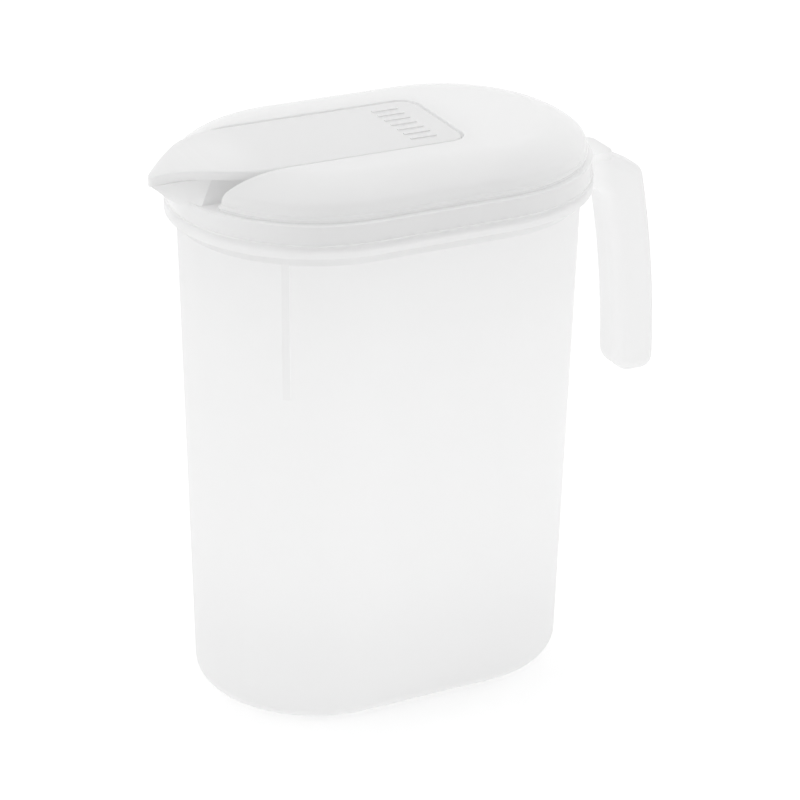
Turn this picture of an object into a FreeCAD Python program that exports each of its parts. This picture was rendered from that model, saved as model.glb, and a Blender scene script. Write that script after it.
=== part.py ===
"""Lidded fridge pitcher: a drafted stadium-shaped jug with a stepped collar and an open
hook handle, a domed lid that plugs into the collar, and a rocking flap over its spout.

Millimetres, +Z up.  The origin is the middle of the base, on the table; the spout
points to -X and the handle to +X.
"""
import FreeCAD, Part
import math
import os
import Sketcher

from FreeCAD import Placement, Rotation, Vector

OUT_FOLDER = "parts"
TOLERANCE = 1e-3

# Alias, value and meaning of each driving size (millimetres, or degrees for a turn).
SIZES = (
    # jug
    ("half_straight", 28.5, "half the straight length of a long side"),
    ("base_radius", 49.75, "end radius of the body at the table"),
    ("rim_radius", 53.9, "end radius of the body under the collar"),
    ("body_height", 200.0, "height of the drafted body"),
    ("wall", 1.8, "moulded wall of jug and lid"),
    ("floor_thick", 2.2, "jug floor"),
    ("base_round", 6.0, "rounding between floor and side"),
    ("collar_step", 4.8, "how far the collar stands out"),
    ("collar_slope", 4.5, "height of the collar's slanted underside"),
    ("collar_height", 9.8, "collar top above the body"),
    ("edge_round", 0.7, "rounding of a moulded edge"),
    ("rib_width", 3.0, "stiffening rib on the side"),
    ("rib_proud", 0.5, "rib above the wall"),
    ("rib_length", 56.0, "rib below the collar"),
    ("rib_turn", 36.6, "rib round the front end from the near side"),
    # handle
    ("handle_width", 18.0, "hook across the jug"),
    ("grip_depth", 19.2, "hook from its inner to its outer face"),
    ("grip_reach", 97.0, "outermost point of the grip beyond the end centre"),
    ("grip_bow", 434.0, "radius of the bowed outer face"),
    ("grip_length", 91.5, "grip below the body's top edge"),
    ("bridge_top", 7.0, "top of the bridge above the body's top edge"),
    ("bridge_depth", 14.5, "height of the bridge"),
    ("bridge_run", 72.5, "flat top of the bridge beyond the end centre"),
    ("bridge_drop", 7.6, "fall of the bridge to the grip's shoulder"),
    ("hook_crook", 6.0, "rounding inside the hook"),
    ("hook_shoulder", 7.0, "rounding of the hook's outer shoulder"),
    ("hook_crest", 12.0, "rounding where the bridge starts to fall"),
    ("hook_heel", 9.0, "rounding of the lower end, inner side"),
    ("hook_toe", 6.0, "rounding of the lower end, outer side"),
    ("hook_edge", 5.0, "rounding along the hook's edges"),
    ("tongue_half", 10.0, "half width of the tongue over the bridge"),
    ("tongue_reach", 13.3, "tongue beyond the collar"),
    ("tongue_thick", 3.5, "tongue"),
    ("tongue_round", 4.0, "corners of the tongue"),
    # lid
    ("fit_gap", 0.3, "clearance between two moulded pieces that fit"),
    ("skirt_depth", 3.4, "lid skirt inside the collar"),
    ("band_setback", 0.6, "lid band behind the collar's face"),
    ("band_height", 7.6, "lid band above the collar"),
    ("dome_setback", 2.5, "dome behind the band"),
    ("bead_base", 1.0, "start of the bead above the ledge"),
    ("bead_height", 2.0, "bead round the foot of the dome"),
    ("bead_round", 1.15, "radius of the bead"),
    ("dome_height", 14.3, "top of the dome above the ledge"),
    ("shoulder_round", 5.0, "tight radius of the dome's shoulder"),
    ("crown_round", 28.0, "wide radius that runs into the flat top"),
    ("shoulder_turn", 50.0, "turn at which one radius meets the other"),
    # flap and its well
    ("flap_half", 25.2, "half width of the flap"),
    ("flap_rear", 25.2, "rear end of the flap from the middle"),
    ("flap_corner", 8.0, "rear corners of the flap"),
    ("prow_back", 30.1, "where the sides turn in, behind the band's front"),
    ("prow_round", 37.8, "radius of the turn"),
    ("prow_taper", 42.0, "taper of each side at the point"),
    ("tip_round", 3.0, "rounding of the point"),
    ("nose_back", 10.6, "where the top starts to fall, behind the band's front"),
    ("nose_round", 46.0, "radius of that fall"),
    ("nose_turn", 40.0, "steepest slope of the nose"),
    ("nose_tail", 12.0, "straight slope beyond it"),
    ("flap_sink", 0.2, "flap top below the dome top"),
    ("flap_depth", 3.4, "side of the flap"),
    ("flap_plate", 1.6, "plate of the flap"),
    ("flap_skirt", 1.6, "skirt round the flap"),
    ("flap_edge", 1.0, "rounding of the flap's upper edge"),
    ("well_gap", 0.9, "gap between the flap and its well"),
    ("well_edge", 0.6, "rounding of the well's rim"),
    ("pinch_back", 29.6, "where the well's sides close in, behind the band's front"),
    ("pinch_round", 80.0, "radius of the bend there"),
    ("pinch_turn", 7.0, "turn of its sides from there on"),
    ("pivot_ahead", 20.0, "pivot ahead of the middle"),
    ("pivot_drop", 3.0, "pivot below the flap's top"),
    ("pin_radius", 1.75, "pivot pins"),
    ("ear_length", 9.0, "ear that carries a pin"),
    ("ear_drop", 2.4, "ear below the pivot"),
    ("bar_count", 7, "grip bars on the rear of the flap"),
    ("bar_length", 11.0, "grip bar"),
    ("bar_width", 1.5, "grip bar"),
    ("bar_proud", 0.5, "grip bar above the flap"),
    ("bar_spread", 34.0, "first bar to last"),
    ("bar_rear", 10.0, "bars ahead of the flap's rear end"),
    # spout
    ("spout_half", 15.8, "half width of the spout"),
    ("spout_wall", 1.6, "spout wall"),
    ("spout_back", 28.6, "back of the spout, behind the band's front"),
    ("spout_foot", 2.6, "root of the spout below the ledge"),
    ("head_drop", 3.3, "level that its sides are drawn up to, below the dome's top"),
    ("foot_side", -2.9, "end of its straight side at the root, beyond the band's front"),
    ("foot_tip", 1.6, "keel at the root, beyond the front"),
    ("head_side", -8.6, "end of its straight side at the top, beyond the front"),
    ("head_corner", 7.5, "corner of the beak at the top, beyond the front"),
    ("head_corner_half", 8.2, "half width there"),
    ("head_tip", 17.4, "keel at the top, beyond the front, before the rim is cut"),
    ("keel_half", 0.6, "half width of the keel at the root"),
    ("beak_wall", 2.2, "wall along the keel"),
    ("rim_gap", 0.5, "flap above the spout's rim"),
    ("pour_back", 5.1, "front of the pouring hole, behind the band's front"),
)


def fill_sheet(doc):
    """Write every driving size into the sheet, one aliased cell each."""
    sheet = doc.addObject("Spreadsheet::Sheet", "Sizes")
    for row, (alias, value, meaning) in enumerate(SIZES, 1):
        sheet.set(f"A{row}", meaning)
        sheet.set(f"B{row}", str(value))
        sheet.setAlias(f"B{row}", alias)
    doc.recompute()
    return sheet


DOC = FreeCAD.newDocument("Pitcher")
SHEET = fill_sheet(DOC)


def cell(text):
    """Expression `text` with each size name turned into its cell of the sheet."""
    names = {alias for alias, _, _ in SIZES}
    word, out = "", ""
    for letter in text + " ":
        if letter.isalnum() or letter == "_":
            word += letter
            continue
        out += (f"Sizes.{word}" if word in names else word) + letter
        word = ""
    return out.strip()


def number(text):
    """Value of an expression in the sizes."""
    return float(SHEET.evalExpression(cell(text)))


# Heights and radii that several pieces share, as expressions in the sizes.
DRAFT = "((rim_radius - base_radius) / body_height)"
SLANT = f"sqrt(1 + {DRAFT} * {DRAFT})"
COLLAR_RADIUS = "(rim_radius + collar_step)"
COLLAR_TOP = "(body_height + collar_height)"
STEP_RISE = "(wall * tan(atan(collar_step / collar_slope) / 2))"
BAND_RADIUS = f"({COLLAR_RADIUS} - band_setback)"
DOME_RADIUS = f"({BAND_RADIUS} - dome_setback)"
SKIRT_RADIUS = f"({COLLAR_RADIUS} - wall - fit_gap)"
LEDGE = f"({COLLAR_TOP} + band_height)"
DOME_TOP = f"({LEDGE} + dome_height)"
SHOULDER = (f"({DOME_TOP} - shoulder_round * sin(shoulder_turn)"
            " - crown_round * (1 - sin(shoulder_turn)))")
FLAP_TOP = f"({DOME_TOP} - flap_sink)"
PIVOT_HEIGHT = f"({FLAP_TOP} - pivot_drop)"
WELL_HALF = "(flap_half + well_gap)"
FRONT = f"(half_straight + {BAND_RADIUS})"
PROW_START = f"({FRONT} - prow_back)"
NOSE_START = f"({FRONT} - nose_back)"
PINCH_START = f"({FRONT} - pinch_back)"
SPOUT_REAR = f"({FRONT} - spout_back)"


# ---------------------------------------------------------------- sketching helpers

def bind(thing, path, text):
    """Tie one property of `thing` to an expression in the sizes."""
    thing.setExpression(path, cell(text))


def origin_feature(body, role):
    """Origin plane or axis of `body` with this role."""
    return next(item for item in body.Origin.OriginFeatures if item.Role == role)


def new_body(name):
    """Empty body with this name."""
    return DOC.addObject("PartDesign::Body", name)


def new_sketch(body, name, role, shift="0"):
    """Sketch on an origin plane of `body`, moved along its normal by `shift`."""
    sketch = body.newObject("Sketcher::SketchObject", name)
    sketch.AttachmentSupport = (origin_feature(body, role), [""])
    sketch.MapMode = "FlatFace"
    bind(sketch, ".AttachmentOffset.Base.z", shift)
    return sketch


def arc_through(start, end, radius, left):
    """Arc from start to end that turns left or right about a centre at `radius`."""
    chord = end - start
    reach = math.sqrt(max(radius ** 2 - chord.Length ** 2 / 4, 0.0))
    side = Vector(-chord.y, chord.x, 0).normalize()
    centre = (start + end) * 0.5 + side * (reach if left else -reach)
    first, last = (start, end) if left else (end, start)
    angles = [math.atan2(spot.y - centre.y, spot.x - centre.x) for spot in (first, last)]
    return Part.ArcOfCircle(Part.Circle(centre, Vector(0, 0, 1), radius), *angles)


def draw_outline(sketch, corners):
    """Close a chain through `corners`, each tied to the sheet.

    A corner is (across, up), or (across, up, radius, left) where an arc leaves it.
    """
    spots = [Vector(number(corner[0]), number(corner[1]), 0) for corner in corners]
    joints = []
    for index, corner in enumerate(corners):
        start, end = spots[index], spots[(index + 1) % len(spots)]
        if len(corner) == 2:
            edge = sketch.addGeometry(Part.LineSegment(start, end), False)
            joints.append((edge, 1, 2))
            continue
        arc = arc_through(start, end, number(corner[2]), corner[3])
        edge = sketch.addGeometry(arc, False)
        joints.append((edge, 1, 2) if corner[3] else (edge, 2, 1))
        tie(sketch, f"radius{index}", corner[2], "Radius", edge)
    for index, corner in enumerate(corners):
        edge, first, _ = joints[index]
        before, _, last = joints[index - 1]
        sketch.addConstraint(Sketcher.Constraint("Coincident", before, last, edge, first))
        pin_corner(sketch, index, edge, first, corner)


def pin_corner(sketch, index, edge, end, corner):
    """Hold one corner at its two distances from the sketch's origin."""
    for word, kind, axis in ((corner[0], "DistanceX", -2), (corner[1], "DistanceY", -1)):
        if word == "0":
            sketch.addConstraint(Sketcher.Constraint("PointOnObject", edge, end, axis))
        else:
            tie(sketch, f"{kind}{index}", word, kind, -1, 1, edge, end)


def tie(sketch, name, text, kind, *where):
    """Add a dimension and bind it to an expression."""
    added = sketch.addConstraint(Sketcher.Constraint(kind, *where, number(text)))
    sketch.renameConstraint(added, name)
    bind(sketch, f"Constraints.{name}", text)


def pad(body, name, sketch, length, midplane=False):
    """Pad of a sketch, up from it or to both of its sides."""
    feature = body.newObject("PartDesign::Pad", name)
    feature.Profile = sketch
    feature.Midplane = midplane
    bind(feature, "Length", length)
    return feature


def prism(name, plane, shift, corners, length, midplane=False):
    """Body of one padded outline."""
    body = new_body(name)
    sketch = new_sketch(body, name + "Outline", plane, shift)
    draw_outline(sketch, corners)
    pad(body, name + "Pad", sketch, length, midplane)
    return body


def stadium(name, corners):
    """Body whose section (distance out, height) runs round the stadium plan."""
    body = new_body(name)
    sketch = new_sketch(body, name + "Section", "YZ_Plane", "half_straight")
    draw_outline(sketch, corners)
    side = pad(body, name + "Side", sketch, "half_straight")
    side.Reversed = True
    turn = body.newObject("PartDesign::Revolution", name + "End")
    turn.Profile = sketch
    turn.ReferenceAxis = (sketch, ["V_Axis"])
    turn.Angle = 90
    turn.Reversed = True
    for role in ("XZ_Plane", "YZ_Plane"):
        DOC.recompute()
        mirror = body.newObject("PartDesign::Mirrored", name + role[:2])
        mirror.TransformMode = "Whole shape"
        mirror.MirrorPlane = (origin_feature(body, role), [""])
        body.Tip = mirror
    return body


def edges_where(shape, test):
    """Names of the edges whose middle point and edge pass `test`."""
    names = []
    for index, edge in enumerate(shape.Edges, 1):
        middle = edge.valueAt((edge.FirstParameter + edge.LastParameter) / 2)
        if test(middle, edge):
            names.append(f"Edge{index}")
    return names


def round_edges(body, name, radius, test):
    """PartDesign fillet of the edges that pass `test`."""
    DOC.recompute()
    base = body.Tip
    feature = body.newObject("PartDesign::Fillet", name)
    feature.Base = (base, edges_where(base.Shape, test))
    bind(feature, "Radius", radius)
    return feature


def round_solid(base, name, radius, test):
    """Part fillet of the edges of `base` that pass `test`."""
    DOC.recompute()
    feature = DOC.addObject("Part::Fillet", name)
    feature.Base = base
    size = number(radius)
    names = edges_where(base.Shape, test)
    feature.Edges = [(int(edge[4:]), size, size) for edge in names]
    return feature


def cut(name, base, tool):
    """Boolean difference."""
    feature = DOC.addObject("Part::Cut", name)
    feature.Base = base
    feature.Tool = tool
    return feature


def common(name, base, tool):
    """Boolean intersection."""
    feature = DOC.addObject("Part::Common", name)
    feature.Base = base
    feature.Tool = tool
    return feature


def fuse(name, *shapes):
    """Boolean union."""
    feature = DOC.addObject("Part::MultiFuse", name)
    feature.Shapes = list(shapes)
    feature.Refine = True
    return feature


def box(name, corner, lengths):
    """Part box from its lowest corner, all six sizes tied to the sheet."""
    feature = DOC.addObject("Part::Box", name)
    for prop, text in zip(("Length", "Width", "Height"), lengths):
        bind(feature, prop, text)
    for axis, text in zip("xyz", corner):
        bind(feature, f".Placement.Base.{axis}", text)
    return feature


def cross_pin(name, radius, start, length):
    """Cylinder along Y on the flap's pivot."""
    feature = DOC.addObject("Part::Cylinder", name)
    bind(feature, "Radius", radius)
    bind(feature, "Height", length)
    feature.Placement = Placement(Vector(), Rotation(Vector(1, 0, 0), -90))
    bind(feature, ".Placement.Base.x", "-pivot_ahead")
    bind(feature, ".Placement.Base.y", start)
    bind(feature, ".Placement.Base.z", PIVOT_HEIGHT)
    return feature


# ---------------------------------------------------------------- jug

def base_bend(inset, floor):
    """The two ends of the rounding between floor and drafted side."""
    radius = f"(base_round - {inset})"
    centre = f"(base_radius + {DRAFT} * base_round - base_round * {SLANT})"
    height = f"({floor} + {radius})"
    return [
        (centre, floor, radius, True),
        (f"{centre} + {radius} / {SLANT}", f"{height} - {radius} * {DRAFT} / {SLANT}"),
    ]


def jug_outside():
    """Body and collar as one drafted block on a flat base."""
    return stadium("JugOutside", [
        ("0", "0"),
        *base_bend("0", "0"),
        ("rim_radius", "body_height"),
        (COLLAR_RADIUS, "body_height + collar_slope"),
        (COLLAR_RADIUS, f"{COLLAR_TOP} - edge_round", "edge_round", True),
        (f"{COLLAR_RADIUS} - edge_round", COLLAR_TOP),
        ("0", COLLAR_TOP),
    ])


def jug_inside():
    """Room inside the jug, one wall in from the outside, open at the top."""
    return stadium("JugInside", [
        ("0", "floor_thick"),
        *base_bend("wall", "floor_thick"),
        ("rim_radius - wall", f"body_height + {STEP_RISE}"),
        (f"{COLLAR_RADIUS} - wall", f"body_height + collar_slope + {STEP_RISE}"),
        (f"{COLLAR_RADIUS} - wall", f"{COLLAR_TOP} + wall"),
        ("0", f"{COLLAR_TOP} + wall"),
    ])


def grip_face(depth, height):
    """How far out the bowed grip stands at `height`, `depth` in from its outer face."""
    centre = "(half_straight + grip_reach - grip_bow)"
    rise = f"({height} - body_height + grip_length)"
    return f"{centre} + sqrt((grip_bow - {depth}) * (grip_bow - {depth}) - {rise} * {rise})"


def hook():
    """Hook handle: a bridge out from the collar and a bowed grip that hangs from it."""
    low = "(body_height - grip_length)"
    top = "(body_height + bridge_top)"
    under = f"({top} - bridge_depth)"
    fall = f"({top} - bridge_drop)"
    root = "half_straight + rim_radius - 2 * wall"
    body = prism("Hook", "XZ_Plane", "0", [
        (root, under),
        (grip_face("grip_depth", under), under, "grip_bow - grip_depth", False),
        (grip_face("grip_depth", low), low),
        (grip_face("0", low), low, "grip_bow", True),
        (grip_face("0", fall), fall),
        ("half_straight + bridge_run", top),
        (root, top),
    ], "handle_width", midplane=True)
    corners = (
        ("HookCrook", "hook_crook", grip_face("grip_depth", under), under),
        ("HookHeel", "hook_heel", grip_face("grip_depth", low), low),
        ("HookToe", "hook_toe", grip_face("0", low), low),
        ("HookShoulder", "hook_shoulder", grip_face("0", fall), fall),
        ("HookCrest", "hook_crest", "half_straight + bridge_run", top),
    )
    for name, radius, across, up in corners:
        spot = Vector(number(across), 0, number(up))
        round_edges(body, name, radius,
                    lambda middle, edge, spot=spot: (middle - spot).Length < TOLERANCE)
    half, inner = number("handle_width / 2"), number(root)
    round_edges(body, "HookEdges", "hook_edge",
                lambda middle, edge: abs(abs(middle.y) - half) < TOLERANCE
                and middle.x > inner + TOLERANCE)
    return body


def tongue():
    """Flat tongue of the collar over the root of the bridge."""
    end = f"(half_straight + {COLLAR_RADIUS} + tongue_reach)"
    root = "half_straight + rim_radius"
    body = prism("Tongue", "XY_Plane", f"{COLLAR_TOP} - tongue_thick", [
        (root, "-tongue_half"),
        (f"{end} - tongue_round", "-tongue_half", "tongue_round", True),
        (end, "-(tongue_half - tongue_round)"),
        (end, "tongue_half - tongue_round", "tongue_round", True),
        (f"{end} - tongue_round", "tongue_half"),
        (root, "tongue_half"),
    ], "tongue_thick")
    high, inner = number(COLLAR_TOP), number(root)
    round_edges(body, "TongueEdge", "edge_round",
                lambda middle, edge: abs(middle.z - high) < TOLERANCE
                and middle.x > inner + TOLERANCE)
    return body


def side_rib():
    """Shallow rib down the front end of the wall, leaning with its draft."""
    rib = DOC.addObject("Part::Box", "SideRib")
    bind(rib, "Length", "rib_proud + wall / 2")
    bind(rib, "Width", "rib_width")
    bind(rib, "Height", "rib_length + wall")
    foot = number("body_height - rib_length")
    lean = math.degrees(math.atan(number(DRAFT)))
    out = number(f"base_radius + {DRAFT} * (body_height - rib_length) - wall / 2")
    stand = Placement(Vector(out, -number("rib_width / 2"), foot),
                      Rotation(Vector(0, 1, 0), lean))
    turn = Placement(Vector(-number("half_straight"), 0, 0),
                     Rotation(Vector(0, 0, 1), 270 - number("rib_turn")))
    rib.Placement = turn * stand
    return rib


def pitcher():
    """Jug, hook, tongue and rib as one moulding."""
    solid = fuse("JugSolid", jug_outside(), hook(), tongue(), side_rib())
    return cut("Pitcher", solid, jug_inside())


# ---------------------------------------------------------------- lid

def dome_curve(inset):
    """Dome from the foot of its shoulder to the middle of its flat top."""
    tight, wide = f"(shoulder_round - {inset})", f"(crown_round - {inset})"
    centre = f"({DOME_RADIUS} - shoulder_round)"
    flat = f"({centre} + (shoulder_round - crown_round) * cos(shoulder_turn))"
    return [
        (f"{DOME_RADIUS} - {inset}", SHOULDER, tight, True),
        (f"{centre} + {tight} * cos(shoulder_turn)",
         f"{SHOULDER} + {tight} * sin(shoulder_turn)", wide, True),
        (flat, f"{DOME_TOP} - {inset}"),
        ("0", f"{DOME_TOP} - {inset}"),
    ]


def lid_outside():
    """Skirt, band, ledge, bead and dome as one block."""
    bottom = f"{COLLAR_TOP} - skirt_depth"
    return stadium("LidOutside", [
        ("0", bottom),
        (SKIRT_RADIUS, bottom),
        (SKIRT_RADIUS, COLLAR_TOP),
        (BAND_RADIUS, COLLAR_TOP),
        (BAND_RADIUS, f"{LEDGE} - edge_round", "edge_round", True),
        (f"{BAND_RADIUS} - edge_round", LEDGE),
        (DOME_RADIUS, LEDGE),
        (DOME_RADIUS, f"{LEDGE} + bead_base", "bead_round", True),
        (DOME_RADIUS, f"{LEDGE} + bead_base + bead_height"),
        *dome_curve("0"),
    ])


def lid_inside():
    """Hollow of the lid, one wall in, open below."""
    bottom = f"{COLLAR_TOP} - skirt_depth - wall"
    return stadium("LidInside", [
        ("0", bottom),
        (f"{SKIRT_RADIUS} - wall", bottom),
        (f"{SKIRT_RADIUS} - wall", f"{LEDGE} - wall"),
        (f"{DOME_RADIUS} - wall", f"{LEDGE} - wall"),
        *dome_curve("wall"),
    ])


def well(name, spare, low, high):
    """Prism of the flap's well, open to the front and `spare` larger all round.

    Ahead of the pinch its sides close in a little, after the flap's own taper.
    """
    front = f"({FRONT} + flap_depth)"
    side = f"({WELL_HALF} + {spare})"
    bend = f"(pinch_round + {spare})"
    bend_x = f"({PINCH_START} + {bend} * sin(pinch_turn))"
    bend_y = f"({side} - {bend} * (1 - cos(pinch_turn)))"
    mouth = f"({bend_y} - ({front} - {bend_x}) * tan(pinch_turn))"
    turn = f"(flap_corner + well_gap + {spare})"
    rear = f"(flap_rear + well_gap + {spare})"
    return prism(name, "XY_Plane", low, [
        (f"-{front}", f"-{mouth}"),
        (f"-{bend_x}", f"-{bend_y}", bend, True),
        (f"-{PINCH_START}", f"-{side}"),
        (f"{rear} - {turn}", f"-{side}", turn, True),
        (rear, f"-({side} - {turn})"),
        (rear, f"{side} - {turn}", turn, True),
        (f"{rear} - {turn}", side),
        (f"-{PINCH_START}", side, bend, True),
        (f"-{bend_x}", bend_y),
        (f"-{front}", mouth),
    ], f"{high} - ({low})")


def spout_block(name, low, inset, pinch, rear):
    """Loft of the spout from its root to above its rim: straight sides and a beak."""
    body = new_body(name)
    half = f"(spout_half - {pinch})"
    levels = (
        ("Foot", f"{LEDGE} - spout_foot + {low}", "foot_side", "keel_half",
         "foot_tip", "foot_tip"),
        ("Head", f"{DOME_TOP} - head_drop", "head_side",
         f"(head_corner_half - {pinch} / 3)", "head_corner", "head_tip"),
    )
    sketches = []
    for word, height, side, corner_half, corner, point in levels:
        sketch = new_sketch(body, name + word, "XY_Plane", height)
        draw_outline(sketch, [
            (f"-{rear}", f"-{half}"),
            (f"-{rear}", half),
            (f"-({FRONT} + {side} - {inset})", half),
            (f"-({FRONT} + {corner} - {inset})", corner_half),
            (f"-({FRONT} + {point} + keel_half / 4 - {inset})", "0"),
            (f"-({FRONT} + {corner} - {inset})", f"-{corner_half}"),
            (f"-({FRONT} + {side} - {inset})", f"-{half}"),
        ])
        sketches.append(sketch)
    loft = body.newObject("PartDesign::AdditiveLoft", name + "Loft")
    loft.Profile = sketches[0]
    loft.Sections = [sketches[1]]
    loft.Ruled = True
    return body


def bent_plate(name, lower, thick):
    """Slab that follows the flap's top: flat, then falling round the nose."""
    high = f"({FLAP_TOP} - {lower})"
    outer, inner = f"(nose_round - {lower})", f"(nose_round - {lower} - {thick})"
    behind = "flap_rear + flap_half"

    def bend_end(radius, tail):
        """Point `tail` past the end of the bend at this radius."""
        return (f"-({NOSE_START} + {radius} * sin(nose_turn) + {tail} * cos(nose_turn))",
                f"{FLAP_TOP} - nose_round + {radius} * cos(nose_turn)"
                f" - {tail} * sin(nose_turn)")

    return prism(name, "XZ_Plane", "0", [
        (behind, f"{high} - {thick}"),
        (behind, high),
        (f"-{NOSE_START}", high, outer, True),
        bend_end(outer, "0"),
        bend_end(outer, "nose_tail"),
        bend_end(inner, "nose_tail"),
        (*bend_end(inner, "0"), inner, False),
        (f"-{NOSE_START}", f"{high} - {thick}"),
    ], "4 * flap_half", midplane=True)


def spout():
    """Trough of the lid under the flap: side walls, beak and a rim below the flap."""
    shell = cut("SpoutShell", spout_block("SpoutHull", "0", "0", "0", SPOUT_REAR),
                spout_block("SpoutTrough", "spout_wall", "beak_wall", "spout_wall",
                            f"({SPOUT_REAR} + spout_wall)"))
    above = bent_plate("RimCutter", "(flap_depth + rim_gap - 12)", "12")
    return cut("Spout", shell, above)


def pouring_hole():
    """Hole from the jug up into the spout, between its walls."""
    half = "(spout_half - spout_wall)"
    low = f"({COLLAR_TOP} - skirt_depth)"
    return box("PouringHole", (f"-({FRONT} - pour_back)", f"-{half}", low),
               ("spout_back - pour_back - spout_wall", f"2 * {half}",
                f"{LEDGE} - {low} + wall"))


def lid():
    """Domed lid with the flap's well, the spout and the holes for the pivot pins."""
    room = cut("LidRoom", lid_inside(),
               well("WellOutside", "wall", f"{LEDGE} - wall", DOME_TOP))
    shell = cut("LidShell", lid_outside(), room)
    open_well = cut("LidOpen", shell, well("Well", "0", LEDGE, f"{DOME_TOP} + wall"))
    shoulder, top = number(SHOULDER), number(DOME_TOP)
    half, rear = number(WELL_HALF), number("flap_rear + well_gap")
    turn = number("flap_corner + well_gap")

    def on_rim(middle, edge):
        """Whether an edge runs where the dome meets the well: sides, corners or rear."""
        if middle.z < shoulder or abs(middle.y) > half + TOLERANCE:
            return False
        if middle.x < rear - turn:
            return abs(middle.y) > half - turn / 2
        corner = math.hypot(middle.x - rear + turn, abs(middle.y) - half + turn)
        on_edge = abs(middle.x - rear) < TOLERANCE or abs(corner - turn) < TOLERANCE
        return on_edge and abs(middle.z - top) < TOLERANCE

    rim = round_solid(open_well, "LidRim", "well_edge", on_rim)
    whole = fuse("LidWhole", rim, spout())
    bored = cut("LidBored", whole, pouring_hole())
    reach = f"({WELL_HALF} + 2 * wall)"
    return cut("Lid", bored, cross_pin("PinHoles", "pin_radius + fit_gap",
                                       f"-{reach}", f"2 * {reach}"))


# ---------------------------------------------------------------- flap

def flap_plan(inset):
    """Plan of the flap, `inset` in from its edge: straight sides and a pointed prow."""
    half = f"(flap_half - {inset})"
    bend = f"(prow_round - {inset})"
    bend_x = f"({PROW_START} + {bend} * sin(prow_taper))"
    bend_y = f"({half} - {bend} * (1 - cos(prow_taper)))"
    small = f"(tip_round - {inset})"
    sharp = f"({bend_x} + {bend_y} / tan(prow_taper))"
    nose_x = f"-({sharp} - {small} / tan(prow_taper) * cos(prow_taper))"
    nose_y = f"({small} * cos(prow_taper))"
    square = "(flap_half - flap_corner)"
    return [
        (nose_x, f"-{nose_y}"),
        (f"-{bend_x}", f"-{bend_y}", bend, True),
        (f"-{PROW_START}", f"-{half}"),
        ("flap_rear - flap_corner", f"-{half}", f"flap_corner - {inset}", True),
        (f"flap_rear - {inset}", f"-{square}"),
        (f"flap_rear - {inset}", square, f"flap_corner - {inset}", True),
        ("flap_rear - flap_corner", half),
        (f"-{PROW_START}", half, bend, True),
        (f"-{bend_x}", bend_y),
        (nose_x, nose_y, small, True),
    ]


def flap_blank(name, inset, lower, thick):
    """Flap-shaped slab: the bent plate inside the plan."""
    plate = bent_plate(name + "Plate", lower, thick)
    tall = prism(name + "Prism", "XY_Plane", f"{LEDGE} - wall", flap_plan(inset),
                 "3 * dome_height")
    return common(name, plate, tall)


def flap_top_height(across):
    """Height of the flap's top at a distance ahead of the middle."""
    beyond = max(-across - number(NOSE_START), 0.0)
    radius = number("nose_round")
    return number(FLAP_TOP) - radius + math.sqrt(radius ** 2 - beyond ** 2)


def grip_bars():
    """Row of raised bars on the rear of the flap, where a finger presses."""
    body = new_body("GripBars")
    sketch = new_sketch(body, "GripBarOutline", "XY_Plane", f"{FLAP_TOP} - bar_proud")
    rear, front = "flap_rear - bar_rear", "flap_rear - bar_rear - bar_length"
    low, high = "-(bar_spread + bar_width) / 2", "-(bar_spread - bar_width) / 2"
    draw_outline(sketch, [(front, low), (rear, low), (rear, high), (front, high)])
    pad(body, "GripBar", sketch, "2 * bar_proud")
    row = body.newObject("PartDesign::LinearPattern", "GripBarRow")
    row.Originals = [DOC.GripBar]
    row.Direction = (origin_feature(body, "Y_Axis"), [""])
    bind(row, "Length", "bar_spread")
    bind(row, "Occurrences", "bar_count")
    body.Tip = row
    return body


def flap():
    """Rocking flap: plate and skirt, two ears with pivot pins, and the grip bars."""
    blank = flap_blank("FlapBlank", "0", "0", "flap_depth")
    nose = number(NOSE_START)

    def on_top_edge(middle, edge):
        """Whether an edge runs round the top, not across it."""
        across = abs(middle.x + nose) < TOLERANCE and abs(middle.y) < TOLERANCE
        return abs(middle.z - flap_top_height(middle.x)) < TOLERANCE and not across

    rounded = round_solid(blank, "FlapRounded", "flap_edge", on_top_edge)
    core = flap_blank("FlapCore", "flap_skirt", "flap_plate", "2 * flap_depth")
    shell = cut("FlapShell", rounded, core)
    pieces = [shell, grip_bars()]
    ear_low = f"({PIVOT_HEIGHT} - ear_drop)"
    for word, ear_start, pin_start in (
            ("Near", "-flap_half", f"-({WELL_HALF} + wall - fit_gap)"),
            ("Far", "flap_half - flap_skirt", "flap_half - flap_skirt")):
        pieces.append(box(word + "Ear", ("-pivot_ahead - ear_length / 2", ear_start, ear_low),
                          ("ear_length", "flap_skirt",
                           f"{FLAP_TOP} - flap_plate / 2 - {ear_low}")))
        pieces.append(cross_pin(word + "Pin", "pin_radius", pin_start,
                                "flap_skirt + well_gap + wall - fit_gap"))
    return fuse("Flap", *pieces)


# ---------------------------------------------------------------- finish

def check(parts):
    """Stop on a failed object or a piece that isn't one valid solid."""
    for item in DOC.Objects:
        if {"Invalid", "Error"} & set(item.State):
            raise RuntimeError(f"{item.Name} failed: {item.State}")
    for label, feature in parts.items():
        shape = feature.Shape
        if shape.isNull() or not shape.isValid() or len(shape.Solids) != 1:
            raise RuntimeError(f"{label} is not one valid solid")


def main():
    """Build the three mouldings and write one STEP file for each."""
    parts = {"pitcher": pitcher(), "lid": lid(), "flap": flap()}
    DOC.recompute()
    for label, feature in parts.items():
        feature.Label = label
    check(parts)
    os.makedirs(OUT_FOLDER, exist_ok=True)
    for label, feature in parts.items():
        feature.Shape.exportStep(os.path.join(OUT_FOLDER, label + ".step"))
        volume = feature.Shape.Volume / 1000
        print(f"{label}: {volume:.1f} cm3, {len(feature.Shape.Faces)} faces")


main()
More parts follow.
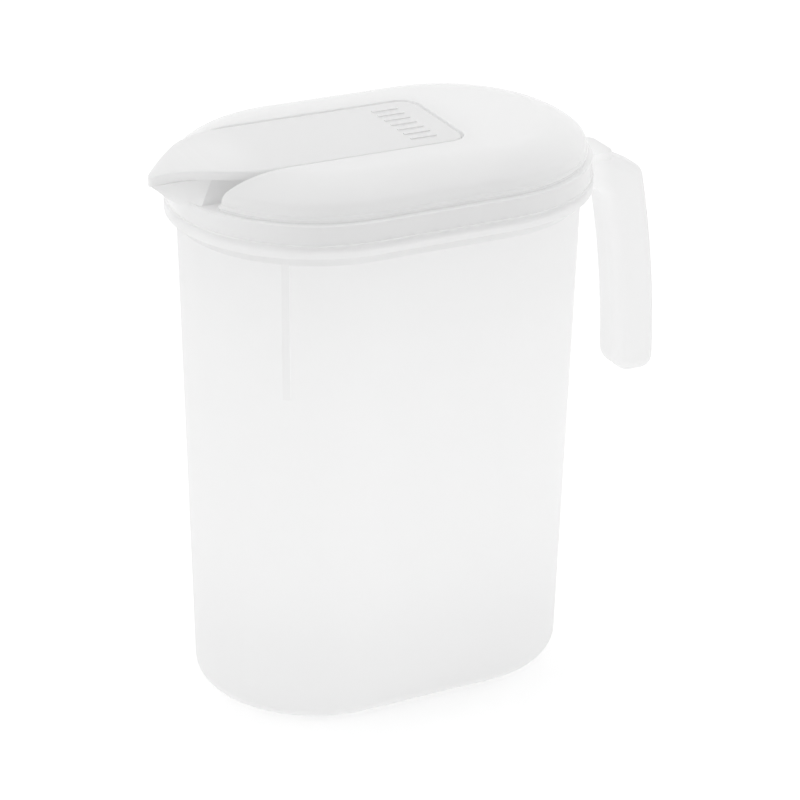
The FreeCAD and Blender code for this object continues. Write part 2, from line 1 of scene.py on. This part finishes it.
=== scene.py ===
import logging
import math
from dataclasses import dataclass, field
from enum import Enum

import bpy
from mathutils import Matrix, Vector


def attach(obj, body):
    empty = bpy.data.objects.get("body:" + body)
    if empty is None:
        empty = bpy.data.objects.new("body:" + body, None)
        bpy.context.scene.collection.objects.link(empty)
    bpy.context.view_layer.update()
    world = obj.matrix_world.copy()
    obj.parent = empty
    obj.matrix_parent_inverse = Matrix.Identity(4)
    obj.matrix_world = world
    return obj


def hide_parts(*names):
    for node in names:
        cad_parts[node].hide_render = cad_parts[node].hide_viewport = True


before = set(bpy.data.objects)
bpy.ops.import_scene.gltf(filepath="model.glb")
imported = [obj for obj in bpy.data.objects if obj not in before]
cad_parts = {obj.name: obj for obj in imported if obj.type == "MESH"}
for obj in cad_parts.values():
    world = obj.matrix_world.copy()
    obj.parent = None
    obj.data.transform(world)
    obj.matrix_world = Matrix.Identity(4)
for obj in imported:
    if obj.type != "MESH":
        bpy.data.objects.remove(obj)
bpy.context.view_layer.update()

MM = 0.001
THICK = "tone_share"  # face attribute: share of the thick tint that a face takes, 0 to 1
LOG = logging.getLogger("pitcher")


class Tint(Enum):
    """Colours of the plastics and of the studio, as sRGB hex values."""

    NATURAL = "#FDFDFD"
    # Darker tint for thick sections and for the painted shade low on the jug.
    NATURAL_THICK_AND_SHADE = "#F2F2F2"
    WHITE = "#F7F7F7"
    PAPER = "#FAFAFA"
    LIGHT = "#FFFFFF"


class Body(Enum):
    """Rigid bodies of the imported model."""

    JUG = "jug"
    ROCKER = "rocker"


# ---------------------------------------------------------------- colour and nodes

def linear(tint: Tint) -> tuple[float, float, float, float]:
    """Linear colour of a tint.

    Args:
        tint: a colour given as an sRGB hex value.
    Returns:
        Red, green, blue and alpha, ready for a shader socket.
    """
    digits = tint.value.lstrip("#")
    levels = [int(digits[i:i + 2], 16) / 255 for i in (0, 2, 4)]
    flat = [v / 12.92 if v <= 0.04045 else ((v + 0.055) / 1.055) ** 2.4 for v in levels]
    return (*flat, 1.0)


def add_node(tree: bpy.types.NodeTree, kind: str, settings: dict | None = None,
             links: dict | None = None) -> bpy.types.Node:
    """Add one node with its settings and its incoming links.

    Args:
        tree: the node tree of a material or of the world.
        kind: the node's type name.
        settings: attribute or input name to value.
        links: input name to (node, output name).
    Returns:
        The new node.
    """
    node = tree.nodes.new(kind)
    for name, value in (settings or {}).items():
        if name in node.inputs.keys():
            node.inputs[name].default_value = value
        else:
            setattr(node, name, value)
    for name, (source, output) in (links or {}).items():
        tree.links.new(source.outputs[output], node.inputs[name])
    return node


def new_material(name: str) -> tuple[bpy.types.Material, bpy.types.NodeTree]:
    """Empty node material.

    Args:
        name: what the material is.
    Returns:
        The material and its cleared node tree.
    """
    material = bpy.data.materials.new(name)
    material.use_nodes = True
    material.node_tree.nodes.clear()
    return material, material.node_tree


def moulded_wall(tree: bpy.types.NodeTree, skin: bpy.types.Node, soak: bpy.types.Node,
                 milk: float) -> None:
    """End a material as a moulded wall that some light soaks through.

    Args:
        tree: the material's node tree.
        skin: shader of its surface.
        soak: shader of the light that soaks through.
        milk: share of the light that does.
    """
    wall = add_node(tree, "ShaderNodeMixShader", {"Fac": milk})
    tree.links.new(skin.outputs["BSDF"], wall.inputs[1])
    tree.links.new(soak.outputs["BSDF"], wall.inputs[2])
    # Light scatters where it enters the plastic and leaves it freely again.
    side = add_node(tree, "ShaderNodeNewGeometry")
    free = add_node(tree, "ShaderNodeBsdfTransparent")
    whole = add_node(tree, "ShaderNodeMixShader", links={"Fac": (side, "Backfacing")})
    tree.links.new(wall.outputs["Shader"], whole.inputs[1])
    tree.links.new(free.outputs["BSDF"], whole.inputs[2])
    add_node(tree, "ShaderNodeOutputMaterial", links={"Surface": (whole, "Shader")})


# ---------------------------------------------------------------- finishes

@dataclass(frozen=True)
class NaturalPolypropylene:
    """Unpigmented injection-moulded polypropylene: milky, so that light soaks through the
    thin wall and softens every edge behind it, with a faint satin from the polished mould."""

    tint: Tint = Tint.NATURAL
    # Darker tint for thick sections and for the painted shade on the foot.
    thick_and_shade_tint: Tint = Tint.NATURAL_THICK_AND_SHADE
    ior: float = 1.49
    roughness: tuple[float, float] = (0.46, 0.55)
    clarity: float = 0.5
    milk: float = 0.65
    flow_mm: float = 26.0
    flow_stretch: tuple[float, float, float] = (1.0, 1.0, 0.35)
    grain_mm: float = 0.9
    grain_height_mm: float = 0.05
    grain_strength: float = 0.02
    # Painted shade: the foot is toned darker towards the bottom, between these heights and by
    # this share.
    foot_shade_mm: tuple[float, float] = (78.0, 26.0)
    foot_shade_share: float = 0.25
    grip_mm: tuple[float, float] = (88.0, 102.0)

    def thickness_and_shade(self, tree: bpy.types.NodeTree, place: bpy.types.Node) -> bpy.types.Node:
        """Node for the share of the darker tint: all of it on the thick grip, less on the
        thick rib, and a painted shade on the foot.

        Args:
            tree: the material's node tree.
            place: its texture coordinates.
        Returns:
            The node, from 0 for the plain wall to 1, in its first output.
        """
        spot = add_node(tree, "ShaderNodeSeparateXYZ", links={"Vector": (place, "Object")})
        # Painted shade: darker towards the bottom of the jug.
        foot = add_node(tree, "ShaderNodeMapRange",
                        {"interpolation_type": "SMOOTHSTEP", "From Min": self.foot_shade_mm[0] * MM,
                         "From Max": self.foot_shade_mm[1] * MM, "To Max": self.foot_shade_share},
                        {"Value": (spot, "Z")})
        grip = add_node(tree, "ShaderNodeMapRange",
                        {"interpolation_type": "SMOOTHSTEP", "From Min": self.grip_mm[0] * MM,
                         "From Max": self.grip_mm[1] * MM}, {"Value": (spot, "X")})
        rib = add_node(tree, "ShaderNodeAttribute", {"attribute_name": THICK})
        tone_share = foot
        for part, output in ((grip, "Result"), (rib, "Fac")):
            both = add_node(tree, "ShaderNodeMath", {"operation": "MAXIMUM"})
            tree.links.new(tone_share.outputs[0], both.inputs[0])
            tree.links.new(part.outputs[output], both.inputs[1])
            tone_share = both
        return tone_share

    def material(self) -> bpy.types.Material:
        """Node material of the jug.

        Returns:
            The material.
        """
        material, tree = new_material("Natural polypropylene")
        place = add_node(tree, "ShaderNodeTexCoord")
        # Flow of the melt: long soft clouds that run up the wall from the gate in the base.
        stretch = add_node(tree, "ShaderNodeMapping", {"Scale": self.flow_stretch},
                           {"Vector": (place, "Object")})
        flow = add_node(tree, "ShaderNodeTexNoise",
                        {"Scale": 1 / (self.flow_mm * MM), "Detail": 2.0, "Roughness": 0.45},
                        {"Vector": (stretch, "Vector")})
        satin = add_node(tree, "ShaderNodeMapRange",
                         {"To Min": self.roughness[0], "To Max": self.roughness[1]},
                         {"Value": (flow, "Fac")})
        # Grain of the mould, drawn coarser than the real one so that it shows.
        grain = add_node(tree, "ShaderNodeTexNoise",
                         {"Scale": 1 / (self.grain_mm * MM), "Detail": 1.0},
                         {"Vector": (place, "Object")})
        relief = add_node(tree, "ShaderNodeBump",
                          {"Strength": self.grain_strength,
                           "Distance": self.grain_height_mm * MM},
                          {"Height": (grain, "Fac")})
        # The grip and the rib are thicker than the wall and pass less light. The wall of the
        # foot is no thicker: its darker tone is painted shade, for the shade that settles low
        # in the jug.
        tone = add_node(tree, "ShaderNodeValToRGB",
                        links={"Fac": (self.thickness_and_shade(tree, place), "Value")})
        tone.color_ramp.elements[0].color = linear(self.tint)
        tone.color_ramp.elements[1].color = linear(self.thick_and_shade_tint)
        skin = add_node(tree, "ShaderNodeBsdfPrincipled",
                        {"IOR": self.ior, "Transmission Weight": self.clarity},
                        {"Base Color": (tone, "Color"), "Roughness": (satin, "Result"),
                         "Normal": (relief, "Normal")})
        soak = add_node(tree, "ShaderNodeBsdfTranslucent",
                        links={"Color": (tone, "Color"), "Normal": (relief, "Normal")})
        moulded_wall(tree, skin, soak, self.milk)
        return material


@dataclass(frozen=True)
class WhitePolypropylene:
    """Polypropylene pigmented white and moulded against polished steel: nearly opaque,
    smooth and softly glossy, with a very slight ripple where it shrank."""

    tint: Tint = Tint.WHITE
    ior: float = 1.49
    roughness: tuple[float, float] = (0.19, 0.26)
    milk: float = 0.26
    ripple_mm: float = 18.0
    ripple_height_mm: float = 0.2
    ripple_strength: float = 0.05

    def material(self) -> bpy.types.Material:
        """Node material of the lid and of the flap.

        Returns:
            The material.
        """
        material, tree = new_material("White polypropylene")
        place = add_node(tree, "ShaderNodeTexCoord")
        ripple = add_node(tree, "ShaderNodeTexNoise",
                          {"Scale": 1 / (self.ripple_mm * MM), "Detail": 1.0},
                          {"Vector": (place, "Object")})
        gloss = add_node(tree, "ShaderNodeMapRange",
                         {"To Min": self.roughness[0], "To Max": self.roughness[1]},
                         {"Value": (ripple, "Fac")})
        relief = add_node(tree, "ShaderNodeBump",
                          {"Strength": self.ripple_strength,
                           "Distance": self.ripple_height_mm * MM},
                          {"Height": (ripple, "Fac")})
        skin = add_node(tree, "ShaderNodeBsdfPrincipled",
                        {"Base Color": linear(self.tint), "IOR": self.ior},
                        {"Roughness": (gloss, "Result"), "Normal": (relief, "Normal")})
        soak = add_node(tree, "ShaderNodeBsdfTranslucent", {"Color": linear(self.tint)},
                        {"Normal": (relief, "Normal")})
        moulded_wall(tree, skin, soak, self.milk)
        return material


# ---------------------------------------------------------------- mouldings

def select_only(*objects: bpy.types.Object) -> None:
    """Leave nothing selected but some objects, the first of them active.

    Args:
        objects: the objects to select.
    """
    bpy.ops.object.select_all(action="DESELECT")
    for thing in objects:
        thing.select_set(True)
    bpy.context.view_layer.objects.active = objects[0]


@dataclass
class Moulding:
    """What every moulding shares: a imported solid, merged, smoothed and tied to its body."""

    node: str
    name: str
    body: Body
    slot: str
    finish: NaturalPolypropylene | WhitePolypropylene
    crease_deg: float = 28.0
    weld_mm: float = 0.002
    piece: bpy.types.Object | None = field(default=None, init=False)

    def weld(self) -> None:
        """Copy the solid and merge its loose triangles into one skin."""
        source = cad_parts[self.node]
        self.piece = bpy.data.objects.new(self.name, source.data.copy())
        bpy.context.scene.collection.objects.link(self.piece)
        select_only(self.piece)
        bpy.ops.object.mode_set(mode="EDIT")
        bpy.ops.mesh.select_all(action="SELECT")
        bpy.ops.mesh.remove_doubles(threshold=self.weld_mm * MM)
        bpy.ops.object.mode_set(mode="OBJECT")

    def smooth(self) -> None:
        """Smooth the skin over all but its sharp edges."""
        select_only(self.piece)
        bpy.ops.mesh.customdata_custom_splitnormals_clear()
        bpy.ops.object.shade_smooth_by_angle(angle=math.radians(self.crease_deg))

    def dress(self) -> None:
        """Give the skin its plastic."""
        self.piece.data.materials.clear()
        self.piece.data.materials.append(self.finish.material())

    def tie(self) -> None:
        """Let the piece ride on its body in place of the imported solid."""
        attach(self.piece, self.body.value)
        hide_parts(self.node)

    def build(self) -> None:
        """Make, dress and tie the piece, and report it."""
        self.weld()
        self.smooth()
        self.dress()
        self.tie()
        LOG.info("%s: %d vertices, %s", self.name, len(self.piece.data.vertices),
                 self.piece.data.materials[0].name)


@dataclass
class Jug(Moulding):
    """Body, stepped collar, hook handle, tongue and rib, moulded in one."""

    node: str = "pitcher"
    name: str = "Jug"
    body: Body = Body.JUG
    slot: str = "translucent_plastic"
    finish: NaturalPolypropylene = field(default_factory=NaturalPolypropylene)
    end_mm: float = -28.5
    foot_radius_mm: float = 49.75
    rim_radius_mm: float = 53.9
    body_mm: float = 200.0
    rib_turn_deg: float = 233.4
    rib_width_mm: float = 3.0
    rib_foot_mm: float = 143.0
    rib_share: float = 0.4
    slack_mm: float = 0.1

    def weld(self) -> None:
        """Merge the solid and mark its rib, which stands proud of the front end."""
        super().weld()
        turn = math.radians(self.rib_turn_deg)
        out = Vector((math.cos(turn), math.sin(turn), 0.0))
        centre = Vector((self.end_mm * MM, 0.0, 0.0))
        draft = (self.rim_radius_mm - self.foot_radius_mm) / self.body_mm
        tone_share = self.piece.data.attributes.new(THICK, "FLOAT", "FACE")
        for face in self.piece.data.polygons:
            spot = face.center - centre
            wall = self.foot_radius_mm * MM + draft * spot.z
            proud = spot.dot(out) > wall
            beside = abs(spot.cross(out).z) < (self.rib_width_mm / 2 + self.slack_mm) * MM
            if proud and beside and self.rib_foot_mm * MM < spot.z < self.body_mm * MM:
                tone_share.data[face.index].value = self.rib_share


@dataclass
class Lid(Moulding):
    """Domed lid with the band that fits the collar, the spout's trough and the flap's well."""

    node: str = "lid"
    name: str = "Lid"
    body: Body = Body.JUG
    slot: str = "white_plastic"
    finish: WhitePolypropylene = field(default_factory=WhitePolypropylene)


@dataclass
class Flap(Moulding):
    """Rocker flap with its grip bars, on pins in the lid."""

    node: str = "flap"
    name: str = "Flap"
    body: Body = Body.ROCKER
    slot: str = "white_plastic"
    finish: WhitePolypropylene = field(default_factory=WhitePolypropylene)


# ---------------------------------------------------------------- studio

@dataclass(frozen=True)
class Viewpoint:
    """Camera on a tripod: where it looks, from where, and how long its lens is."""

    target_mm: tuple[float, float, float] = (0.0, 0.0, 100.0)
    bearing_deg: float = 26.213
    elevation_deg: float = 25.486
    roll_deg: float = 0.549
    distance_mm: float = 1200.0
    lens_mm: float = 132.26
    shift: tuple[float, float] = (0.02718, 0.04014)
    reach: tuple[float, float] = (0.05, 20.0)

    def place(self) -> None:
        """Add the camera and make it the scene's."""
        bearing, rise = math.radians(self.bearing_deg), math.radians(self.elevation_deg)
        roll = math.radians(self.roll_deg)
        right = Vector((math.cos(bearing), -math.sin(bearing), 0.0))
        level = Vector((math.sin(bearing), math.cos(bearing), 0.0))
        ahead = level * math.cos(rise) - Vector((0.0, 0.0, math.sin(rise)))
        up = right.cross(ahead)
        side = right * math.cos(roll) + up * math.sin(roll)
        top = up * math.cos(roll) - right * math.sin(roll)
        turn = Matrix((side, top, -ahead)).transposed().to_4x4()
        spot = Vector(self.target_mm) * MM - ahead * self.distance_mm * MM
        camera = bpy.data.objects.new("Camera", bpy.data.cameras.new("Camera"))
        camera.matrix_world = Matrix.Translation(spot) @ turn
        camera.data.lens = self.lens_mm
        camera.data.shift_x, camera.data.shift_y = self.shift
        camera.data.clip_start, camera.data.clip_end = self.reach
        bpy.context.scene.collection.objects.link(camera)
        bpy.context.scene.camera = camera


@dataclass(frozen=True)
class Lamp:
    """Soft box that faces a point."""

    name: str
    spot: tuple[float, float, float]
    size: tuple[float, float]
    power: float
    aim: tuple[float, float, float] = (0.0, 0.0, 0.12)

    def place(self) -> None:
        """Add the lamp."""
        data = bpy.data.lights.new(self.name, "AREA")
        data.shape = "RECTANGLE"
        data.size, data.size_y = self.size
        data.energy = self.power
        lamp = bpy.data.objects.new(self.name, data)
        lamp.location = self.spot
        facing = Vector(self.aim) - Vector(self.spot)
        lamp.rotation_euler = facing.to_track_quat("-Z", "Y").to_euler()
        bpy.context.scene.collection.objects.link(lamp)


def seen_directly(tree: bpy.types.NodeTree) -> bpy.types.Node:
    """Node that is 1 for what the eye, a reflection or a clear wall shows, else 0 or less.

    Args:
        tree: the node tree.
    Returns:
        The node, with its answer in "Value".
    """
    rays = add_node(tree, "ShaderNodeLightPath")
    mirror = add_node(tree, "ShaderNodeMath", {"operation": "MAXIMUM"})
    tree.links.new(rays.outputs["Is Glossy Ray"], mirror.inputs[0])
    tree.links.new(rays.outputs["Is Transmission Ray"], mirror.inputs[1])
    shown = add_node(tree, "ShaderNodeMath", {"operation": "MAXIMUM"})
    tree.links.new(rays.outputs["Is Camera Ray"], shown.inputs[0])
    tree.links.new(mirror.outputs["Value"], shown.inputs[1])
    # Light that soaks through a milky wall counts as scattered light.
    clear = add_node(tree, "ShaderNodeMath", {"operation": "SUBTRACT", "use_clamp": True})
    tree.links.new(shown.outputs["Value"], clear.inputs[0])
    tree.links.new(rays.outputs["Is Diffuse Ray"], clear.inputs[1])
    return clear


@dataclass
class Studio:
    """Pale table, soft sky and soft boxes."""

    table_m: float = 6.0
    front_sky: float = 0.5
    back_sky: float = 1.08
    back: tuple[float, float, float] = (0.4, 0.8, -0.45)
    fade: tuple[float, float] = (-0.93, -0.08)
    table_glow: float = 0.2
    lamps: list[Lamp] = field(default_factory=lambda: [
        Lamp("Top", (0.0, 0.1, 1.5), (1.4, 1.2), 1.8),
        Lamp("Left", (-1.6, 0.3, 0.5), (0.8, 1.0), 3.4),
        Lamp("Right", (1.4, 0.2, 0.5), (1.2, 1.0), 0.3),
    ])

    def table(self) -> None:
        """White table that fades to pure white for the camera and keeps the shadow."""
        bpy.ops.object.select_all(action="DESELECT")
        bpy.ops.mesh.primitive_plane_add(size=self.table_m)
        top = bpy.context.object
        top.name = "Table"
        material, tree = new_material("White laminate")
        board = add_node(tree, "ShaderNodeBsdfDiffuse", {"Color": linear(Tint.PAPER)})
        level = add_node(tree, "ShaderNodeMapRange", {"To Max": self.table_glow},
                         {"Value": (seen_directly(tree), "Value")})
        glow = add_node(tree, "ShaderNodeEmission", {"Color": linear(Tint.LIGHT)},
                        {"Strength": (level, "Result")})
        mix = add_node(tree, "ShaderNodeAddShader")
        tree.links.new(board.outputs["BSDF"], mix.inputs[0])
        tree.links.new(glow.outputs["Emission"], mix.inputs[1])
        add_node(tree, "ShaderNodeOutputMaterial", links={"Surface": (mix, "Shader")})
        top.data.materials.append(material)

    def sky_light(self) -> None:
        """Soft white surroundings, pure white where they are seen or mirrored."""
        world = bpy.data.worlds.new("Studio")
        world.use_nodes = True
        bpy.context.scene.world = world
        tree = world.node_tree
        tree.nodes.clear()
        # The room is brighter behind the table than in front of it.
        place = add_node(tree, "ShaderNodeTexCoord")
        toward = add_node(tree, "ShaderNodeVectorMath", {"operation": "DOT_PRODUCT"})
        toward.inputs[1].default_value = Vector(self.back).normalized()
        tree.links.new(place.outputs["Generated"], toward.inputs[0])
        level = add_node(tree, "ShaderNodeMapRange",
                         {"interpolation_type": "SMOOTHSTEP", "From Min": self.fade[0],
                          "From Max": self.fade[1], "To Min": self.front_sky,
                          "To Max": self.back_sky}, {"Value": (toward, "Value")})
        shown = add_node(tree, "ShaderNodeMix", {"data_type": "FLOAT"})
        tree.links.new(seen_directly(tree).outputs["Value"], shown.inputs["Factor"])
        tree.links.new(level.outputs["Result"], shown.inputs["A"])
        shown.inputs["B"].default_value = 1.0
        air = add_node(tree, "ShaderNodeBackground", {"Color": linear(Tint.LIGHT)},
                       {"Strength": (shown, "Result")})
        add_node(tree, "ShaderNodeOutputWorld", links={"Surface": (air, "Background")})

    def build(self) -> None:
        """Set up table, sky, lamps and colour handling."""
        self.table()
        self.sky_light()
        for lamp in self.lamps:
            lamp.place()
        bpy.context.scene.view_settings.view_transform = "Standard"


def main() -> None:
    """Build the mouldings and the studio, and report each piece."""
    logging.basicConfig(level=logging.INFO, format="%(message)s")
    for moulding in (Jug(), Lid(), Flap()):
        moulding.build()
    Studio().build()
    Viewpoint().place()


if __name__ == "__main__":
    main()
